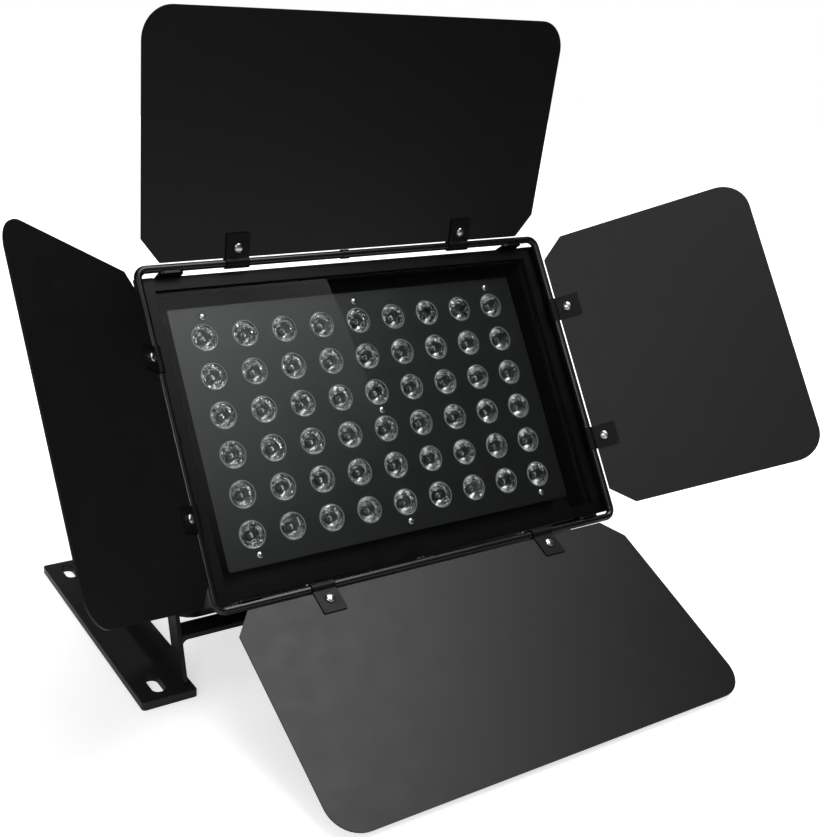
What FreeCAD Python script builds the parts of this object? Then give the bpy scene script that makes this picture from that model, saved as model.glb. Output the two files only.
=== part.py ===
"""LED stage light with four barn doors on a slotted floor bracket, in millimetres.

The origin is the middle of the bracket's footprint on the floor, +Z is up and the beam leaves towards -Y.
The head is modelled upright in its own frame, with the lens fronts in the plane y = 0, the beam along -y
and +z up the lens panel, and then tilted about the pivot bolts. Each door is modelled in a hinge frame,
with x along the hinge and +z outwards over the sheet, and then turned to its opening angle.
"""
import FreeCAD, Part
import math
import os

V = FreeCAD.Vector

# LED array
led_columns = 9
led_rows = 6
led_pitch_x = 35.0
led_pitch_z = 31.3
lens_diameter = 22.0
lens_rim = 2.6
lens_depth = 13.2
lens_foot_diameter = 9.0
emitter_side = 3.6
emitter_height = 1.2
board_thickness = 1.6
board_inset = 4.0
spreader_thickness = 6.0

# mask plate round the lenses
mask_thickness = 2.0
mask_margin_x = 25.8
mask_margin_z = 24.6
mask_corner_radius = 2.0
lens_clearance = 0.3
mask_screw_inset_x = 1.9
mask_screw_rise_z = 16.5
mask_screw_diameter = 3.0
mask_screw_head_diameter = 5.6
mask_screw_head_height = 1.8
mask_pillar_diameter = 6.0

# window, glass and bezel
window_border_x = 11.6
window_border_z = 10.9
bezel_face_width = 10.4
bezel_side_face_width = 14.3
bezel_side_lip = 6.1
bezel_thickness = 3.3
bezel_front = 15.3
bezel_skirt_depth = 32.0
bezel_skirt_thickness = 2.0
bezel_edge_radius = 0.8
glass_thickness = 4.0
glass_clearance = 0.5
gasket_thickness = 2.0
ledge_thickness = 3.0
bezel_screw_diameter = 6.4
bezel_screw_height = 1.2
bezel_screw_share = 0.56
bezel_screw_setback = 12.0

# housing and rear cover
housing_wall = 3.0
housing_rear = 80.0
housing_corner_radius = 7.0
spreader_ledge_thickness = 4.0
spreader_ledge_width = 8.0
spreader_clearance = 0.5
cover_thickness = 4.0
fin_count = 27
fin_side_margin = 16.6
fin_height = 24.0
fin_thickness = 2.6
fin_groove_depth = 1.5
fin_end_margin = 18.0
cover_screw_diameter = 8.0
cover_screw_height = 3.0
cover_screw_inset = 9.0
cover_screw_shares = (-1, -0.33, 0.33, 1)

# control panel on the rear cover
panel_width = 118.0
panel_height = 100.0
panel_thickness = 5.0
panel_corner_radius = 4.0
panel_top_margin = 27.0
panel_fin_gap = 6.0
display_width = 44.0
display_height = 18.0
display_thickness = 1.2
display_drop = 18.0
button_count = 4
button_diameter = 9.0
button_pitch = 20.0
button_stand = 2.6
button_travel = 1.0
button_bore_clearance = 0.08
button_end_gap = 0.3
button_drop = 44.0
socket_drop = 78.0
power_socket_diameter = 22.0
power_socket_first_x = -13.5
power_socket_second_x = -43.0
signal_socket_diameter = 17.0
signal_socket_first_x = 15.0
signal_socket_second_x = 42.0
socket_flange_width = 3.0
socket_flange_thickness = 3.0
socket_barrel_length = 13.0
socket_wall = 2.2
socket_recess = 9.0

# electronics inside the housing
supply_width = 190.0
supply_height = 76.0
supply_depth = 40.0
supply_corner_radius = 3.0
supply_drop = 48.0
control_board_width = 110.0
control_board_height = 60.0
control_board_lift = 50.0
control_standoff_diameter = 5.0
control_standoff_length = 12.0
control_standoff_inset = 6.0

# safety eye on the rear cover
eye_thickness = 4.0
eye_reach = 24.0
eye_height = 22.0
eye_hole_diameter = 11.0
eye_corner_share = 0.4
eye_top_margin = 1.0

# rod frame in front of the bezel
rod_diameter = 6.2
rod_side_inset = 1.2
rod_gap_z = 4.9
rod_front_gap = 1.7
rod_bend_radius = 7.5
weld_sleeve_diameter = 7.6
weld_sleeve_length = 7.0
weld_sleeve_top_x = -9.8
weld_sleeve_left_z = -0.8
tab_width = 20.0
tab_corner_distance = 27.0
tab_front_reach = 3.0
tab_rear_reach = 18.0
tab_corner_radius = 4.0
tab_screw_diameter = 7.0
tab_screw_height = 2.0
tab_screw_setback = 8.0

# barn doors
door_reach = 180.5
door_side_gap = 5.7
door_thickness = 1.5
door_start = 4.8
door_corner_radius = 23.5
long_door_chamfer_width = 14.4
side_door_chamfer_width = 16.1
door_chamfer_depth = 18.2
long_door_shift = -2.0
side_door_shift = -0.9
top_door_angle = 38.2
bottom_door_angle = 31.2
left_door_angle = 46.2
right_door_angle = 39.9

# door clips
clip_width = 20.0
clip_thickness = 1.2
clip_length = 23.5
clip_running_gap = 0.06
clip_corner_radius = 1.0
long_door_clip_x = 106.0
side_door_clip_x = 60.0
clip_screw_distance = 12.0
clip_screw_diameter = 4.0
clip_screw_head_diameter = 7.8
clip_screw_head_height = 2.4
clip_screw_head_radius = 0.9
clip_screw_clearance = 0.2
clip_nut_width = 7.0
clip_nut_height = 3.0
clip_thread_gap = 0.05
clip_screw_tail = 1.0

# floor bracket
bracket_clearance = 2.1
foot_length = 261.2
foot_width = 44.9
foot_inner_ledge = 4.0
foot_thickness = 6.5
foot_corner_radius = 3.0
foot_edge_radius = 1.2
slot_width = 11.0
slot_length = 27.0
slot_end_distance = 23.1
side_plate_thickness = 3.5
side_plate_front_inset = 9.4
side_plate_rear_inset = 9.4
side_plate_top_front = 46.0
side_plate_top_rear = 42.0
side_plate_top_height = 26.0
side_plate_foot_radius = 1.5
side_plate_top_radius = 18.0
side_plate_leg_width = 18.0
side_plate_rail_height = 16.9
side_plate_window_gap = 36.0
side_plate_window_radius = 6.0
cross_bar_width = 20.0
cross_bar_thickness = 4.0
cross_bar_drop = 117.5
cross_bar_fillet = 5.0

# tilt pivot
tilt_angle = 31.4
pivot_height = 157.7
pivot_behind_foot_front = 100.0
pivot_behind_lenses = 58.0
pivot_bolt_diameter = 10.0
pivot_bolt_head_width = 17.0
pivot_bolt_head_height = 6.4
pivot_bolt_clearance = 0.06
pivot_hole_clearance = 0.4
pivot_boss_diameter = 36.0
pivot_bolt_engagement = 7.0
friction_washer_thickness = 3.0
friction_washer_diameter = 32.0
friction_washer_gap = 0.3
pivot_washer_thickness = 2.0
pivot_washer_diameter = 24.0

# places shared by several pieces
half_turn = 180.0
quarter_turn = 90.0
full_turn = 360.0
hexagon_sides = 6
overrun = 1.0
join_distance = 1e-6

array_half_x = (led_columns - 1) / 2 * led_pitch_x
array_half_z = (led_rows - 1) / 2 * led_pitch_z
mask_x = array_half_x + mask_margin_x
mask_z = array_half_z + mask_margin_z
window_x = mask_x + window_border_x
window_z = mask_z + window_border_z
bezel_lip_x = window_x + bezel_side_face_width
bezel_x = bezel_lip_x - bezel_side_lip
bezel_z = window_z + bezel_face_width
housing_x = bezel_x - bezel_skirt_thickness
housing_z = bezel_z - bezel_skirt_thickness
inner_x = housing_x - housing_wall
inner_z = housing_z - housing_wall
glass_front = bezel_front - bezel_thickness
board_front = lens_depth + emitter_height
spreader_front = board_front + board_thickness
spreader_rear = spreader_front + spreader_thickness
cover_rear = housing_rear + cover_thickness
panel_rear = cover_rear + panel_thickness
panel_top = housing_z - panel_top_margin

rod_radius = rod_diameter / 2
rod_x = bezel_lip_x - rod_side_inset
rod_z = bezel_z + rod_gap_z
rod_front = bezel_front + rod_front_gap + rod_radius
long_door_half_width = rod_x - door_side_gap
side_door_half_width = rod_z - door_side_gap

bracket_inner_x = rod_x + rod_radius + bracket_clearance
bracket_outer_x = bracket_inner_x + side_plate_thickness
foot_inner_x = bracket_inner_x - foot_inner_ledge
foot_outer_x = foot_inner_x + foot_width
slot_pitch = foot_length - 2 * slot_end_distance
cross_bar_height = pivot_height - cross_bar_drop
pivot_forward = foot_length / 2 - pivot_behind_foot_front
slot_x = (bracket_outer_x + foot_outer_x) / 2
pivot_boss_end = bracket_inner_x - friction_washer_thickness - friction_washer_gap
pivot_bolt_end = pivot_boss_end - pivot_bolt_engagement


def mapped(plane, u, v, w):
    """A point with in-plane places u, v and height w over the named plane"""
    return {"xy": V(u, v, w), "xz": V(u, w, v), "yz": V(w, u, v)}[plane]


def outline(plane, corners, radii, w):
    """A closed wire through the corners, each rounded by its own radius"""
    flat = [V(u, v, 0) for u, v in corners]
    stretches = []
    for number, corner in enumerate(flat):
        back = (flat[number - 1] - corner).normalize()
        ahead = (flat[(number + 1) % len(flat)] - corner).normalize()
        radius = radii[number]
        half_angle = back.getAngle(ahead) / 2
        setback = radius / math.tan(half_angle)
        middle = (back + ahead).normalize()
        touch = corner + middle * (radius / math.sin(half_angle) - radius)
        stretches.append((corner + back * setback, touch, corner + ahead * setback, radius))
    edges = []
    for number, (start, touch, end, radius) in enumerate(stretches):
        places = [mapped(plane, point.x, point.y, w) for point in (start, touch, end)]
        if radius > 0:
            edges.append(Part.Arc(*places).toShape())
        following = stretches[(number + 1) % len(stretches)][0]
        if (following - end).Length > join_distance:
            edges.append(Part.makeLine(places[2], mapped(plane, following.x, following.y, w)))
    return Part.Wire(edges)


def slab(plane, corners, radii, low, high):
    """A flat solid between two heights over a plane"""
    face = Part.Face(outline(plane, corners, radii, low))
    return face.extrude(mapped(plane, 0, 0, high - low))


def rectangle(half_u, half_v, centre_u=0, centre_v=0):
    """Corners of a rectangle about its centre"""
    return [(centre_u - half_u, centre_v - half_v), (centre_u + half_u, centre_v - half_v),
            (centre_u + half_u, centre_v + half_v), (centre_u - half_u, centre_v + half_v)]


def block(x0, x1, y0, y1, z0, z1):
    """A plain box between two opposite corners"""
    return Part.makeBox(x1 - x0, y1 - y0, z1 - z0, V(x0, y0, z0))


def round_bar(radius, start, end):
    """A solid cylinder from one point to another"""
    run = end - start
    return Part.makeCylinder(radius, run.Length, start, run)


def hexagon(width, start, length):
    """A hexagonal prism along +x or +y, by its width across flats"""
    corner = width / 2 / math.cos(math.pi / hexagon_sides)
    turns = [math.radians(full_turn * side / hexagon_sides) for side in range(hexagon_sides)]
    across = [(corner * math.cos(turn), corner * math.sin(turn)) for turn in turns]
    along_x = length.x != 0
    points = [start + (V(0, u, v) if along_x else V(u, 0, v)) for u, v in across]
    return Part.Face(Part.makePolygon(points + points[:1])).extrude(length)


def ring_slab(plane, outer, outer_radius, inner, inner_radius, low, high):
    """A flat frame: a rounded rectangle with a rounded rectangular opening"""
    body = slab(plane, rectangle(*outer), [outer_radius] * 4, low, high)
    return body.cut(slab(plane, rectangle(*inner), [inner_radius] * 4, low - overrun, high + overrun))


def mirrored_x(shape):
    """The same piece on the other side of the middle plane"""
    return shape.mirror(V(0, 0, 0), V(1, 0, 0))


def group(shapes):
    """Separate solids that share one name"""
    return Part.makeCompound(shapes)


def on_head(shape):
    """A piece of the head, tilted about the pivot bolts"""
    placed = shape.copy()
    placed.translate(V(0, -pivot_behind_lenses, 0))
    placed.rotate(V(0, 0, 0), V(1, 0, 0), -tilt_angle)
    placed.translate(V(0, -pivot_forward, pivot_height))
    return placed


def on_door(shape, angle, shift, spin, hinge_distance):
    """A piece of a door, opened to its angle, on the rod run that the spin about the beam names"""
    placed = shape.copy()
    placed.translate(V(shift, 0, 0))
    placed.rotate(V(0, 0, 0), V(1, 0, 0), angle)
    placed.translate(V(0, -rod_front, hinge_distance))
    placed.rotate(V(0, 0, 0), V(0, 1, 0), spin)
    return on_head(placed)


# bracket

def foot():
    """Left foot plate with a slot for a floor or truss bolt at each end"""
    middle_x = -(foot_inner_x + foot_outer_x) / 2
    plate = slab("xy", rectangle(foot_width / 2, foot_length / 2, middle_x), [foot_corner_radius] * 4,
                 0, foot_thickness)
    rim = [edge for edge in plate.Edges if edge.BoundBox.ZMin > foot_thickness - join_distance]
    plate = plate.makeFillet(foot_edge_radius, rim)
    for end in (-1, 1):
        corners = rectangle(slot_width / 2, slot_length / 2, -slot_x, end * slot_pitch / 2)
        plate = plate.cut(slab("xy", corners, [slot_width / 2] * 4, -overrun, foot_thickness + overrun))
    return plate


def side_plate():
    """Left bracket arm: a tapered plate with a three-cornered window, standing on its foot"""
    top = pivot_height + side_plate_top_height
    base_front = -foot_length / 2 + side_plate_front_inset
    base_rear = foot_length / 2 - side_plate_rear_inset
    top_front = -pivot_forward - side_plate_top_front
    top_rear = -pivot_forward + side_plate_top_rear
    corners = [(base_front, foot_thickness), (base_rear, foot_thickness), (top_rear, top), (top_front, top)]
    radii = [side_plate_foot_radius] * 2 + [side_plate_top_radius] * 2
    plate = slab("yz", corners, radii, -bracket_outer_x, -bracket_inner_x)

    def edge_y(base, crown, z):
        return base + (crown - base) * (z - foot_thickness) / (top - foot_thickness)

    low = foot_thickness + side_plate_rail_height
    high = pivot_height - side_plate_window_gap
    window = [(edge_y(base_front, top_front, low) + side_plate_leg_width, low),
              (edge_y(base_rear, top_rear, low) - side_plate_leg_width, low),
              (edge_y(base_rear, top_rear, high) - side_plate_leg_width, high),
              (edge_y(base_front, top_front, high) + side_plate_leg_width, high)]
    plate = plate.cut(slab("yz", window, [side_plate_window_radius] * 4,
                           -bracket_outer_x - overrun, -bracket_inner_x + overrun))
    bolt_hole = round_bar(pivot_bolt_diameter / 2 + pivot_hole_clearance,
                          V(-bracket_outer_x - overrun, -pivot_forward, pivot_height),
                          V(-bracket_inner_x + overrun, -pivot_forward, pivot_height))
    return plate.cut(bolt_hole)


def cross_bar(end):
    """Flat bar between the arms, thickened by a fillet under each end; end is -1 in front and 1 behind"""
    top = cross_bar_height + cross_bar_thickness
    low = cross_bar_height - cross_bar_fillet
    near = bracket_inner_x - cross_bar_fillet
    bow = cross_bar_fillet * (1 - math.cos(math.pi / 4))
    left = [V(-bracket_inner_x, 0, low), V(bow - bracket_inner_x, 0, cross_bar_height - bow),
            V(-near, 0, cross_bar_height), V(-bracket_inner_x, 0, top)]
    right = [V(-point.x, 0, point.z) for point in left]
    profile = Part.Face(Part.Wire([
        Part.Arc(*left[:3]).toShape(), Part.makeLine(left[2], right[2]),
        Part.Arc(*right[2::-1]).toShape(), Part.makeLine(right[0], right[3]),
        Part.makeLine(right[3], left[3]), Part.makeLine(left[3], left[0])]))
    arm_height = pivot_height + side_plate_top_height - foot_thickness
    slope_share = (cross_bar_height - foot_thickness) / arm_height
    inset = side_plate_front_inset if end < 0 else side_plate_rear_inset
    base_y = end * (foot_length / 2 - inset)
    top_y = -pivot_forward - side_plate_top_front if end < 0 else -pivot_forward + side_plate_top_rear
    edge = base_y + (top_y - base_y) * slope_share
    start = edge if end < 0 else edge - cross_bar_width
    profile.translate(V(0, start, 0))
    return profile.extrude(V(0, cross_bar_width, 0))


def pivot_bolt():
    """Left hexagon bolt, clamping the head between the arms"""
    under_head = bracket_outer_x + pivot_washer_thickness
    shank = round_bar(pivot_bolt_diameter / 2, V(-under_head, -pivot_forward, pivot_height),
                      V(-pivot_bolt_end, -pivot_forward, pivot_height))
    head = hexagon(pivot_bolt_head_width, V(-under_head, -pivot_forward, pivot_height),
                   V(-pivot_bolt_head_height, 0, 0))
    return shank.fuse(head).removeSplitter()


def pivot_disc(diameter, bore_clearance, near, far):
    """A washer on the left pivot bolt between two distances from the middle"""
    start = V(-near, -pivot_forward, pivot_height)
    end = V(-far, -pivot_forward, pivot_height)
    bore = round_bar(pivot_bolt_diameter / 2 + bore_clearance, start, end)
    return round_bar(diameter / 2, start, end).cut(bore)


# head

def led_places():
    """Middle of every LED, row by row from the top"""
    rows = [array_half_z - row * led_pitch_z for row in range(led_rows)]
    columns = [column * led_pitch_x - array_half_x for column in range(led_columns)]
    return [(x, z) for z in rows for x in columns]


def mask_screw_places():
    """The seven screws of the mask plate: three above, three below and one in the middle"""
    far_x = array_half_x - mask_screw_inset_x
    far_z = array_half_z + mask_screw_rise_z
    return [(x, z) for z in (far_z, -far_z) for x in (-far_x, 0, far_x)] + [(0, 0)]


def lens():
    """Clear collimator: a flat front rim over a cone that narrows to the emitter"""
    profile = [(0, 0), (lens_diameter / 2, 0), (lens_diameter / 2, lens_rim),
               (lens_foot_diameter / 2, lens_depth), (0, lens_depth)]
    points = [V(radius, y, 0) for radius, y in profile]
    face = Part.Face(Part.makePolygon(points + points[:1]))
    return face.revolve(V(0, 0, 0), V(0, 1, 0), full_turn)


def lenses():
    """One lens over every LED"""
    pieces = []
    for x, z in led_places():
        piece = lens()
        piece.translate(V(x, 0, z))
        pieces.append(piece)
    return group(pieces)


def led_emitters():
    """Square LED packages on the circuit board"""
    half = emitter_side / 2
    return group([block(x - half, x + half, lens_depth, board_front, z - half, z + half)
                  for x, z in led_places()])


def mask_plate():
    """Grey plate with a round hole for every lens and a hole for every screw"""
    wires = [outline("xz", rectangle(mask_x, mask_z), [mask_corner_radius] * 4, 0)]
    for x, z in led_places():
        wires.append(Part.Wire(Part.makeCircle(lens_diameter / 2 + lens_clearance, V(x, 0, z), V(0, 1, 0))))
    for x, z in mask_screw_places():
        wires.append(Part.Wire(Part.makeCircle(mask_screw_diameter / 2 + lens_clearance, V(x, 0, z),
                                               V(0, 1, 0))))
    return Part.makeFace(wires, "Part::FaceMakerBullseye").extrude(V(0, mask_thickness, 0))


def mask_pillars():
    """Spacers between the circuit board and the mask plate"""
    return group([round_bar(mask_pillar_diameter / 2, V(x, mask_thickness, z), V(x, board_front, z))
                  for x, z in mask_screw_places()])


def mask_screws():
    """Pan head screws through the mask plate into its spacers"""
    pieces = []
    for x, z in mask_screw_places():
        head = round_bar(mask_screw_head_diameter / 2, V(x, -mask_screw_head_height, z), V(x, 0, z))
        shank = round_bar(mask_screw_diameter / 2, V(x, 0, z), V(x, mask_thickness, z))
        pieces.append(head.fuse(shank).removeSplitter())
    return group(pieces)


def led_board():
    """Circuit board that carries the LED packages"""
    return slab("xz", rectangle(mask_x - board_inset, mask_z - board_inset), [mask_corner_radius] * 4,
                board_front, spreader_front)


def heat_spreader():
    """Thick plate behind the circuit board, resting on the housing's rear ledge"""
    return slab("xz", rectangle(inner_x - spreader_clearance, inner_z - spreader_clearance),
                [mask_corner_radius] * 4, spreader_front, spreader_rear)


def housing():
    """Cast case of the head: four walls with one ledge for the glass and one for the heat spreader"""
    walls = ring_slab("xz", (housing_x, housing_z), housing_corner_radius, (inner_x, inner_z),
                      mask_corner_radius, -glass_front, housing_rear)
    ledge_front = gasket_thickness + glass_thickness - glass_front
    glass_ledge = ring_slab("xz", (housing_x, housing_z), housing_corner_radius, (window_x, window_z),
                            mask_corner_radius, ledge_front, ledge_front + ledge_thickness)
    opening = (inner_x - spreader_ledge_width, inner_z - spreader_ledge_width)
    rear_ledge = ring_slab("xz", (housing_x, housing_z), housing_corner_radius, opening, mask_corner_radius,
                           spreader_rear, spreader_rear + spreader_ledge_thickness)
    return walls.fuse([glass_ledge, rear_ledge]).removeSplitter()


def glass():
    """Flat front glass, held between the bezel and its gasket"""
    return slab("xz", rectangle(inner_x - glass_clearance, inner_z - glass_clearance),
                [mask_corner_radius] * 4, -glass_front, glass_thickness - glass_front)


def gasket():
    """Rubber frame between the glass and the housing's ledge"""
    low = glass_thickness - glass_front
    outer = (inner_x - glass_clearance, inner_z - glass_clearance)
    return ring_slab("xz", outer, mask_corner_radius, (window_x, window_z), mask_corner_radius,
                     low, low + gasket_thickness)


def bezel_member(half_length, skirt_half_length, inner, outer, lip):
    """Upper bezel member: a front face that may reach past its skirt, and a skirt along the housing"""
    face = block(-half_length, half_length, -bezel_front, -glass_front, inner, outer + lip)
    outer_edge = [edge for edge in face.Edges if edge.BoundBox.YMax < join_distance - bezel_front
                  and edge.BoundBox.ZMin > outer + lip - join_distance]
    face = face.makeFillet(bezel_edge_radius, outer_edge)
    skirt = block(-skirt_half_length, skirt_half_length, -glass_front, bezel_skirt_depth - glass_front,
                  outer - bezel_skirt_thickness, outer)
    return face.fuse(skirt).removeSplitter()


def bezel(side):
    """One of the four bezel members; the side members run the full height and the others butt between"""
    if side in ("left", "right"):
        member = bezel_member(bezel_z, bezel_z, window_x, bezel_x, bezel_side_lip)
    else:
        member = bezel_member(window_x, housing_x, window_z, bezel_z, 0)
    spin = {"top": 0, "right": quarter_turn, "bottom": half_turn, "left": -quarter_turn}[side]
    member.rotate(V(0, 0, 0), V(0, 1, 0), spin)
    return member


def bezel_screws():
    """Low screw heads through the bezel skirts into the housing walls"""
    y = bezel_screw_setback - glass_front
    radius = bezel_screw_diameter / 2
    pieces = []
    for sign in (-1, 1):
        for x in (-bezel_x * bezel_screw_share, 0, bezel_x * bezel_screw_share):
            pieces.append(round_bar(radius, V(x, y, sign * bezel_z),
                                    V(x, y, sign * (bezel_z + bezel_screw_height))))
        for z in (-bezel_z * bezel_screw_share, bezel_z * bezel_screw_share):
            pieces.append(round_bar(radius, V(sign * bezel_x, y, z),
                                    V(sign * (bezel_x + bezel_screw_height), y, z)))
    return group(pieces)


def fin_blades(start, end):
    """Upright blades across the rear cover between two depths, shorter below the control panel"""
    outermost_x = housing_x - fin_side_margin
    blades = []
    for number in range(fin_count):
        x = outermost_x * (2 * number / (fin_count - 1) - 1)
        beside_panel = abs(x) > panel_width / 2 + panel_fin_gap
        top = housing_z - fin_end_margin if beside_panel else panel_top - panel_height - panel_fin_gap
        blades.append(block(x - fin_thickness / 2, x + fin_thickness / 2, start, end,
                            fin_end_margin - housing_z, top))
    return blades


def rear_cover():
    """Flat rear cover with a groove for the foot of every cooling fin"""
    plate = slab("xz", rectangle(housing_x, housing_z), [housing_corner_radius] * 4,
                 housing_rear, cover_rear)
    return plate.cut(fin_blades(cover_rear - fin_groove_depth, cover_rear + overrun))


def cooling_fins():
    """Fins pressed into the grooves of the rear cover"""
    return group(fin_blades(cover_rear - fin_groove_depth, cover_rear + fin_height))


def rear_cover_screws():
    """Eight screws that hold the rear cover, above and below the fins"""
    z = housing_z - cover_screw_inset
    pieces = []
    for share in cover_screw_shares:
        x = share * (housing_x - cover_screw_inset)
        for sign in (-1, 1):
            pieces.append(round_bar(cover_screw_diameter / 2, V(x, cover_rear, sign * z),
                                    V(x, cover_rear + cover_screw_height, sign * z)))
    return group(pieces)


def control_panel():
    """Panel for the display, the buttons and the sockets, bored for the buttons"""
    plate = slab("xz", rectangle(panel_width / 2, panel_height / 2, 0, panel_top - panel_height / 2),
                 [panel_corner_radius] * 4, cover_rear, panel_rear)
    for x, z in button_places():
        plate = plate.cut(round_bar(button_diameter / 2 + button_bore_clearance,
                                    V(x, cover_rear - overrun, z), V(x, panel_rear + overrun, z)))
    return plate


def button_places():
    """A row of menu buttons under the display"""
    first = -(button_count - 1) / 2 * button_pitch
    return [(first + number * button_pitch, panel_top - button_drop) for number in range(button_count)]


def menu_button(number):
    """Round menu button that travels into the control panel"""
    x, z = button_places()[number]
    front = cover_rear + button_travel + button_end_gap
    return round_bar(button_diameter / 2, V(x, front, z), V(x, panel_rear + button_stand, z))


def display_window():
    """Cover of the menu display"""
    corners = rectangle(display_width / 2, display_height / 2, 0, panel_top - display_drop)
    return slab("xz", corners, [mask_corner_radius] * 4, panel_rear, panel_rear + display_thickness)


def socket(diameter, x):
    """Round panel socket: a flange and a barrel with a recessed contact face"""
    z = panel_top - socket_drop
    end = panel_rear + socket_flange_thickness + socket_barrel_length
    flange = round_bar(diameter / 2 + socket_flange_width, V(x, panel_rear, z),
                       V(x, panel_rear + socket_flange_thickness, z))
    barrel = round_bar(diameter / 2, V(x, panel_rear, z), V(x, end, z))
    recess = round_bar(diameter / 2 - socket_wall, V(x, end - socket_recess, z), V(x, end + overrun, z))
    return flange.fuse(barrel).removeSplitter().cut(recess)


def power_sockets():
    """Power inlet and outlet beside each other"""
    places = (power_socket_first_x, power_socket_second_x)
    return group([socket(power_socket_diameter, x) for x in places])


def signal_sockets():
    """Control signal input and output beside each other"""
    places = (signal_socket_first_x, signal_socket_second_x)
    return group([socket(signal_socket_diameter, x) for x in places])


def safety_eye():
    """Flat eye for a safety cable, standing on the upper edge of the rear cover"""
    centre_z = housing_z - eye_top_margin - eye_height / 2
    corners = rectangle(eye_reach / 2, eye_height / 2, cover_rear + eye_reach / 2, centre_z)
    rounding = eye_height * eye_corner_share
    plate = slab("yz", corners, [0, rounding, rounding, 0], -eye_thickness / 2, eye_thickness / 2)
    hole_y = cover_rear + eye_reach - eye_height / 2
    return plate.cut(round_bar(eye_hole_diameter / 2, V(-eye_thickness, hole_y, centre_z),
                               V(eye_thickness, hole_y, centre_z)))


def power_supply():
    """Driver and power supply, screwed to the inside of the rear cover"""
    corners = rectangle(supply_width / 2, supply_height / 2, 0, -supply_drop)
    return slab("xz", corners, [supply_corner_radius] * 4, housing_rear - supply_depth, housing_rear)


def control_board():
    """Control circuit board, on spacers above the power supply"""
    front = housing_rear - control_standoff_length
    return slab("xz", rectangle(control_board_width / 2, control_board_height / 2, 0, control_board_lift),
                [mask_corner_radius] * 4, front - board_thickness, front)


def control_standoffs():
    """Spacers under the corners of the control board"""
    half_x = control_board_width / 2 - control_standoff_inset
    half_z = control_board_height / 2 - control_standoff_inset
    return group([round_bar(control_standoff_diameter / 2, V(x, housing_rear - control_standoff_length, z),
                            V(x, housing_rear, z))
                  for x, z in rectangle(half_x, half_z, 0, control_board_lift)])


def pivot_boss():
    """Left round boss on the side wall, bored for the pivot bolt"""
    start = V(-housing_x, pivot_behind_lenses, 0)
    end = V(-pivot_boss_end, pivot_behind_lenses, 0)
    body = round_bar(pivot_boss_diameter / 2, start, end)
    bore_start = V(-pivot_bolt_end + pivot_hole_clearance, pivot_behind_lenses, 0)
    bore = round_bar(pivot_bolt_diameter / 2 + pivot_bolt_clearance, bore_start, end - V(overrun, 0, 0))
    return body.cut(bore)


def rod_frame():
    """Closed rectangle of round rod with bent corners and two butt joint sleeves"""
    y = -rod_front
    near_x = rod_x - rod_bend_radius
    near_z = rod_z - rod_bend_radius
    pieces = []
    for sign in (-1, 1):
        pieces.append(round_bar(rod_radius, V(-near_x, y, sign * rod_z), V(near_x, y, sign * rod_z)))
        pieces.append(round_bar(rod_radius, V(sign * rod_x, y, -near_z), V(sign * rod_x, y, near_z)))
    corners = ((1, 1, 0), (-1, 1, -quarter_turn), (-1, -1, half_turn), (1, -1, quarter_turn))
    for sign_x, sign_z, turn in corners:
        section = Part.Face(Part.Wire(Part.makeCircle(rod_radius, V(0, y, rod_bend_radius), V(1, 0, 0))))
        bend = section.revolve(V(0, y, 0), V(0, 1, 0), quarter_turn)
        bend.rotate(V(0, y, 0), V(0, 1, 0), turn)
        bend.translate(V(sign_x * near_x, 0, sign_z * near_z))
        pieces.append(bend)
    half_sleeve = weld_sleeve_length / 2
    pieces.append(round_bar(weld_sleeve_diameter / 2, V(weld_sleeve_top_x - half_sleeve, y, rod_z),
                            V(weld_sleeve_top_x + half_sleeve, y, rod_z)))
    pieces.append(round_bar(weld_sleeve_diameter / 2, V(-rod_x, y, weld_sleeve_left_z - half_sleeve),
                            V(-rod_x, y, weld_sleeve_left_z + half_sleeve)))
    return pieces[0].fuse(pieces[1:]).removeSplitter()


def tab_places():
    """Middle of each fixing tab along the upper and lower rod runs"""
    x = rod_x - tab_corner_distance
    return [(sign_x * x, sign_z) for sign_z in (1, -1) for sign_x in (-1, 1)]


def frame_tabs():
    """Flat tabs between the rod frame and the bezel's upper and lower skirts"""
    outer = rod_z - rod_radius
    front = -rod_front - tab_front_reach
    length = tab_rear_reach - front
    pieces = []
    for x, sign in tab_places():
        corners = rectangle(tab_width / 2, length / 2, x, front + length / 2)
        low = bezel_z if sign > 0 else -outer
        high = outer if sign > 0 else -bezel_z
        pieces.append(slab("xy", corners, [tab_corner_radius] * 4, low, high))
    return group(pieces)


def frame_tab_screws():
    """One screw head on each fixing tab"""
    outer = rod_z - rod_radius
    return group([round_bar(tab_screw_diameter / 2, V(x, tab_screw_setback, sign * outer),
                            V(x, tab_screw_setback, sign * (outer + tab_screw_height)))
                  for x, sign in tab_places()])


# doors

def door_sheet(half_width, chamfer_width, clip_x):
    """Sheet metal door with rounded outer corners, chamfered hinge corners and two screw holes"""
    corners = [(chamfer_width - half_width, door_start), (half_width - chamfer_width, door_start),
               (half_width, door_start + door_chamfer_depth), (half_width, door_reach),
               (-half_width, door_reach), (-half_width, door_start + door_chamfer_depth)]
    radii = [0, 0, 0, door_corner_radius, door_corner_radius, 0]
    sheet = slab("xz", corners, radii, -door_thickness / 2, door_thickness / 2)
    radius = clip_screw_diameter / 2 + clip_screw_clearance
    for x in (-clip_x, clip_x):
        sheet = sheet.cut(round_bar(radius, V(x, -door_thickness, clip_screw_distance),
                                    V(x, door_thickness, clip_screw_distance)))
    return sheet


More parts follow.
